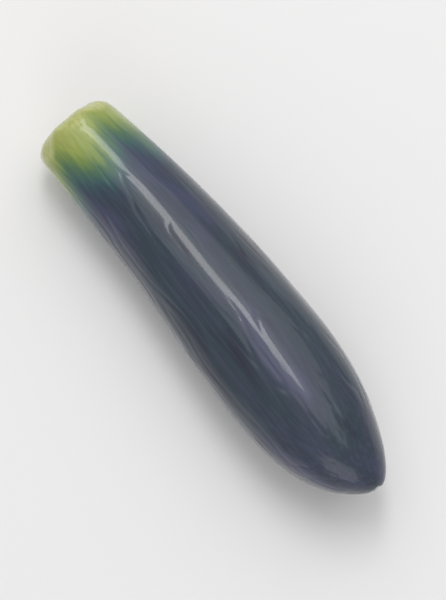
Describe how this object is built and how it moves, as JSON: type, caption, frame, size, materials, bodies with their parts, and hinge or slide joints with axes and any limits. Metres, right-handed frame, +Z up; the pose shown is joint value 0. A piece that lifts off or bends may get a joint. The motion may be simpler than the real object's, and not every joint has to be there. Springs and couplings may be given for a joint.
{
  "type": "sendai long eggplant",
  "caption": "Small slim curved eggplant, pickled whole with its calyx pared away, lying on its side: blunt yellow-green stem end, dark glossy body, pointed blossom end.",
  "frame": {"origin": "on the surface that the fruit rests on, under the middle of its box", "axes": "+X along the fruit from the stem end to the blossom end, +Z up, and the hollow of its curve faces -Y"},
  "size_m": [0.0922, 0.0252, 0.0237],
  "materials": {
    "skin": "wet and glossy indigo-black skin, turning through teal to yellow-green at the pared stem end"
  },
  "bodies": {
    "root": {"fruit": "skin"}
  },
  "joints": []
}
